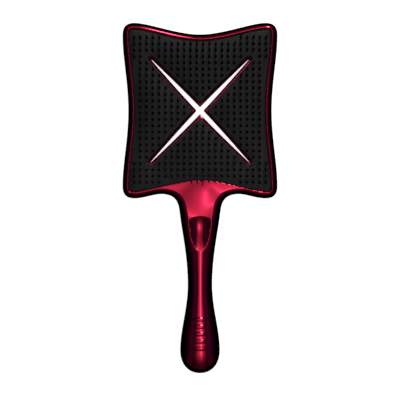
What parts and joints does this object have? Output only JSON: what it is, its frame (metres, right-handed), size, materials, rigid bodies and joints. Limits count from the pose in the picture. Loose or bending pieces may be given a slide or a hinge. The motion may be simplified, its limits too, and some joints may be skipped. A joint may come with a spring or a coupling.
{
  "type": "paddle hair brush",
  "caption": "Vented paddle hair brush with a metallised two-shell body, a moulded bristle pad on a soft bed and an X-shaped air vent right through the head.",
  "frame": {"origin": "centre of the bounding box at its lowest plane, where the flat land on the back of the head rests", "axes": "+X across the brush, +Y from the handle's end to the head, +Z out of the bristle side"},
  "size_m": [0.1088, 0.245, 0.0256],
  "materials": {
    "plated_red": "ABS, metallised and lacquered in clear crimson, mirror-bright",
    "black_nylon": "moulded nylon, satin",
    "grey_foam": "closed-cell foam sheet",
    "zinc_steel": "zinc-plated"
  },
  "bodies": {
    "brush_body": {"back_shell": "plated_red", "front_shell": "plated_red", "vent_sleeve": "plated_red", "foam_cushion": "grey_foam", "shell_screw_1": "zinc_steel", "shell_screw_2": "zinc_steel", "shell_screw_3": "zinc_steel", "shell_screw_4": "zinc_steel"},
    "sprung_pad": {"bristle_pad": "black_nylon"}
  },
  "joints": [
    {"name": "pad_press", "type": "slide", "parent": "brush_body", "child": "sprung_pad", "axis": [0, 0, 1], "range_m": [-0.0015, 0], "stiffness_N_per_m": 4000, "deforming": ["foam_cushion"]}
  ]
}
